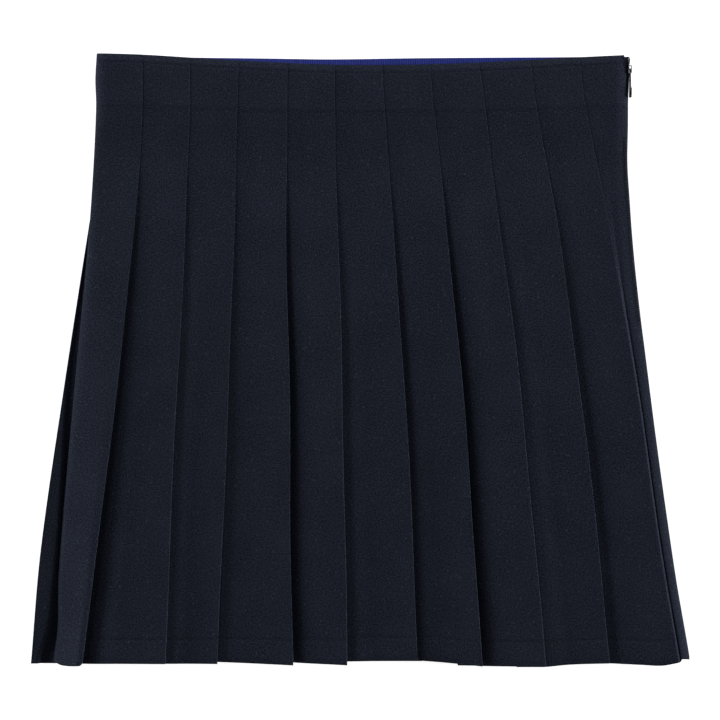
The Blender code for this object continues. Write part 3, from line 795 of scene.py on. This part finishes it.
def black_plastic():
    """The coil's black nylon."""
    material, tree, shader = shader_of("black coil")
    place = add_node(tree, "ShaderNodeTexCoord")
    worn = add_node(
        tree, "ShaderNodeTexNoise", {"Vector": place.outputs["Object"], "Scale": 900.0, "Detail": 2.0}
    )
    colour = add_node(
        tree, "ShaderNodeMix", {0: worn.outputs["Fac"], 6: COIL_DARK, 7: COIL_WORN}, data_type="RGBA"
    )
    tree.links.new(colour.outputs[2], shader.inputs["Base Color"])
    shader.inputs["Roughness"].default_value = 0.3
    return material


bpy.ops.object.select_all(action="DESELECT")
for turn in range(int(ZIP_LENGTH / COIL_PITCH)):
    drop = turn * COIL_PITCH
    place = ((right_side(drop)[0] - COIL_IN) * MM, (WAIST_Y - drop) * MM, ZIP_MIDDLE * MM)
    bpy.ops.mesh.primitive_torus_add(
        location=place,
        rotation=(math.radians(90), 0, math.radians(COIL_LEAN)),
        major_segments=10,
        minor_segments=4,
        major_radius=COIL_RING[0] * MM,
        minor_radius=COIL_RING[1] * MM,
    )
    if turn == 0:
        coil = bpy.context.object
        coil.name = coil.data.name = "coil_turns"
        bpy.ops.object.transform_apply(location=True, rotation=True, scale=True)
        bpy.ops.object.mode_set(mode="EDIT")
bpy.ops.object.mode_set(mode="OBJECT")
bpy.ops.object.shade_smooth()
coil.data.materials.append(black_plastic())
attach(coil, "skirt")
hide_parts("zip_coil")


ZIP_YARNS = 2000.0  # a metre
WEFT = 0.6  # from one thread of the weft to the next
ZIP_DARK = (0.003, 0.003, 0.004, 1)
ZIP_LIGHT = (0.028, 0.028, 0.03, 1)


def black_woven():
    """The zip's tape: fine black cloth whose weft runs across it."""
    material, tree, shader = shader_of("black zip tape")
    place = add_node(tree, "ShaderNodeTexCoord")
    grain = add_node(tree, "ShaderNodeGroup", node_tree=GRAIN)
    tree.links.new(place.outputs["Object"], grain.inputs["Place"])
    grain.inputs["Yarns a metre"].default_value = ZIP_YARNS
    weft = add_node(
        tree,
        "ShaderNodeTexWave",
        {"Vector": place.outputs["Object"], "Scale": WAVE_SCALE / (WEFT * MM), "Distortion": 0.5},
        bands_direction="Y",
    )
    shade = add_node(
        tree,
        "ShaderNodeMath",
        {0: weft.outputs["Fac"], 1: 0.35, 2: grain.outputs["Shade"]},
        operation="MULTIPLY_ADD",
    )
    colour = add_node(
        tree,
        "ShaderNodeMix",
        {0: shade.outputs[0], 6: ZIP_DARK, 7: ZIP_LIGHT},
        data_type="RGBA",
    )
    bump = add_node(
        tree, "ShaderNodeBump", {"Height": shade.outputs[0], "Strength": 0.5, "Distance": 0.2 * MM}
    )
    tree.links.new(colour.outputs[2], shader.inputs["Base Color"])
    tree.links.new(bump.outputs[0], shader.inputs["Normal"])
    shader.inputs["Roughness"].default_value = 0.9
    shader.inputs["Specular IOR Level"].default_value = 0.1
    return material


SLIDER_PLATING_AND_HIGHLIGHT = ((0.06, 0.065, 0.07, 1), (0.6, 0.63, 0.66, 1))  # as it is, and in its bright patches, which are painted highlight
PULL_PLATING_AND_HIGHLIGHT = ((0.03, 0.032, 0.028, 1), (0.3, 0.31, 0.28, 1))
PLATING_ROUGHNESS = (0.45, 0.6)


def plated_metal(name, dark, painted_highlight_colour):
    """Dark plating with fine scratches, made brighter in random patches that are painted highlight."""
    material, tree, shader = shader_of(name)
    place = add_node(tree, "ShaderNodeTexCoord")
    highlight_and_scratch_noise = add_node(
        tree, "ShaderNodeTexNoise", {"Vector": place.outputs["Object"], "Scale": 500.0, "Detail": 4.0}
    )
    # Painted highlight: random patches of the plating get a much brighter colour to stand in for its glints
    painted_highlight_mask = add_node(
        tree, "ShaderNodeMapRange", {"Value": highlight_and_scratch_noise.outputs["Fac"], "From Min": 0.48, "From Max": 0.6}
    )
    colour = add_node(tree, "ShaderNodeMix", {0: painted_highlight_mask.outputs[0], 6: dark, 7: painted_highlight_colour}, data_type="RGBA")
    scratched = add_node(
        tree,
        "ShaderNodeMapRange",
        {
            "Value": highlight_and_scratch_noise.outputs["Fac"],
            "From Min": 0.3,
            "From Max": 0.7,
            "To Min": PLATING_ROUGHNESS[1],
            "To Max": PLATING_ROUGHNESS[0],
        },
    )
    bump = add_node(
        tree, "ShaderNodeBump", {"Height": highlight_and_scratch_noise.outputs["Fac"], "Strength": 0.5, "Distance": 0.3 * MM}
    )
    tree.links.new(colour.outputs[2], shader.inputs["Base Color"])
    tree.links.new(scratched.outputs[0], shader.inputs["Roughness"])
    tree.links.new(bump.outputs[0], shader.inputs["Normal"])
    shader.inputs["Metallic"].default_value = 1.0
    return material


SLIDER_METAL = plated_metal("dark plated slider", *SLIDER_PLATING_AND_HIGHLIGHT)
bpy.data.objects["zip_slider"].material_slots[0].material = SLIDER_METAL
bpy.data.objects["zip_tape"].material_slots[0].material = black_woven()

# The slider's crown, the raised part that holds the bail. Its outer face slopes, so that the pull can turn up
CROWN_MIDDLE = (188.72, 209.3, 3.9)
CROWN = (0.69, 4.7, 4.2)  # its width across, along the zip, and in height
CROWN_SLOPE = 0.4  # it is this much thinner at its lower end
CROWN_BEVEL = 0.1
bpy.ops.object.select_all(action="DESELECT")
bpy.ops.mesh.primitive_cube_add(size=MM, location=[c * MM for c in CROWN_MIDDLE])
crown = bpy.context.object
crown.name = crown.data.name = "slider_crown"
bpy.ops.object.transform_apply(location=True, rotation=True, scale=True)
bpy.ops.object.mode_set(mode="EDIT")
bpy.ops.mesh.select_all(action="SELECT")
bpy.ops.transform.resize(value=CROWN, center_override=[c * MM for c in CROWN_MIDDLE])
bpy.ops.mesh.select_all(action="DESELECT")
bpy.ops.object.mode_set(mode="OBJECT")
for vertex in crown.data.vertices:
    vertex.select = vertex.co.x > CROWN_MIDDLE[0] * MM and vertex.co.y < CROWN_MIDDLE[1] * MM
bpy.ops.object.mode_set(mode="EDIT")
bpy.ops.transform.translate(value=(-CROWN_SLOPE * MM, 0, 0))
bpy.ops.mesh.select_all(action="SELECT")
bpy.ops.mesh.bevel(offset=CROWN_BEVEL * MM, segments=2, affect="EDGES")
bpy.ops.object.mode_set(mode="OBJECT")
bpy.ops.object.shade_smooth_by_angle(angle=math.radians(50))
crown.data.materials.append(SLIDER_METAL)
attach(crown, "skirt")

# The pull's plate: the solid's own shape, thicker below the bail, with its edges rounded
PULL_X = 189.05  # its middle
PULL_NECK_Y = 202.0  # it is thicker below this place
PULL_THICKER = 1.48  # times as thick
PULL_BACK_X = 188.35  # its side next to the cloth is flat here
PULL_ROUNDING = 0.18
bpy.ops.object.select_all(action="DESELECT")
solid = bpy.data.objects["zip_pull"]
solid.select_set(True)
bpy.context.view_layer.objects.active = solid
bpy.ops.object.duplicate()
pull = bpy.context.object
pull.name = pull.data.name = "pull_plate"
bpy.ops.object.mode_set(mode="EDIT")
bpy.ops.mesh.select_all(action="SELECT")
bpy.ops.mesh.remove_doubles(threshold=0.000001)
bpy.ops.mesh.select_all(action="DESELECT")
bpy.ops.object.mode_set(mode="OBJECT")
for vertex in pull.data.vertices:
    vertex.select = vertex.co.y < PULL_NECK_Y * MM
bpy.ops.object.mode_set(mode="EDIT")
bpy.ops.transform.resize(value=(PULL_THICKER, 1, 1), center_override=(PULL_X * MM, 0, 0))
bpy.ops.mesh.select_all(action="DESELECT")
bpy.ops.object.mode_set(mode="OBJECT")
for vertex in pull.data.vertices:
    vertex.select = vertex.co.x < PULL_BACK_X * MM
bpy.ops.object.mode_set(mode="EDIT")
bpy.ops.transform.resize(value=(0, 1, 1), center_override=(PULL_BACK_X * MM, 0, 0))
bpy.ops.object.mode_set(mode="OBJECT")
rounded = pull.modifiers.new("rounded edges", "BEVEL")
rounded.width = PULL_ROUNDING * MM
rounded.segments = 2
rounded.limit_method = "ANGLE"
rounded.angle_limit = math.radians(40)
bpy.ops.object.modifier_apply(modifier=rounded.name)
bpy.ops.object.shade_smooth_by_angle(angle=math.radians(50))
pull.data.materials.clear()
pull.data.materials.append(plated_metal("dark plated pull", *PULL_PLATING_AND_HIGHLIGHT))
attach(pull, "pull_tab")
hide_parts("zip_pull")


# Surface and light
# A plain pale table that glows, as a photographer's light table does. Soft light comes low from the upper
# left. Weaker light comes from the right, from beyond the waist and from the hem, and a little from above.

TABLE_SIZE = 8.0
TABLE_GAP = 0.3  # it lies this far below the skirt
TABLE_GLOW = 0.92
ROOM_LIGHT = 0.03
bpy.ops.object.select_all(action="DESELECT")
bpy.ops.mesh.primitive_plane_add(size=TABLE_SIZE, location=(0, 0, -TABLE_GAP * MM))
table = bpy.context.object
table.name = "table"
material, tree, shader = shader_of("pale table")
shader.inputs["Base Color"].default_value = (0.9, 0.9, 0.9, 1)
shader.inputs["Roughness"].default_value = 0.9
shader.inputs["Specular IOR Level"].default_value = 0.1
shader.inputs["Emission Color"].default_value = (1, 1, 1, 1)
shader.inputs["Emission Strength"].default_value = TABLE_GLOW
table.data.materials.append(material)

scene = bpy.context.scene
scene.view_settings.view_transform = "Standard"
world = bpy.data.worlds.new("pale room")
world.use_nodes = True
world.node_tree.nodes["Background"].inputs["Color"].default_value = (1, 1, 1, 1)
world.node_tree.nodes["Background"].inputs["Strength"].default_value = ROOM_LIGHT
scene.world = world


def soft_light(name, place, size, power):
    """A square light that faces the middle of the table."""
    bpy.ops.object.light_add(type="AREA", location=place)
    light = bpy.context.object
    light.name = name
    light.data.size = size
    light.data.energy = power
    light.rotation_mode = "QUATERNION"
    light.rotation_quaternion = light.location.to_track_quat("Z", "Y")


# Where each light stands and how wide it is, in metres, and its power in watts
soft_light("key", (-4.6, 2.2, 1.2), 2.9, 232)
soft_light("fill", (3.7, 0.1, 0.54), 1.0, 126)
soft_light("head", (1.1, 3.5, 0.34), 0.6, 44)
soft_light("foot", (0.2, -2.8, 0.9), 1.4, 12)

# Camera
# It hangs straight above the middle of the skirt, far enough away to see it without perspective.

FRAME_WIDTH = 504.0 * MM  # what the picture shows across, on the cloth
CLOTH_HEIGHT = 3.5 * MM
CAMERA_Y = 0.275 * MM
CAMERA_HEIGHT = 3.0
SENSOR = 36.0
bpy.ops.object.camera_add(location=(0, CAMERA_Y, CAMERA_HEIGHT), rotation=(0, 0, 0))
camera = bpy.context.object
camera.data.sensor_width = SENSOR
camera.data.lens = SENSOR * (CAMERA_HEIGHT - CLOTH_HEIGHT) / FRAME_WIDTH
scene.camera = camera
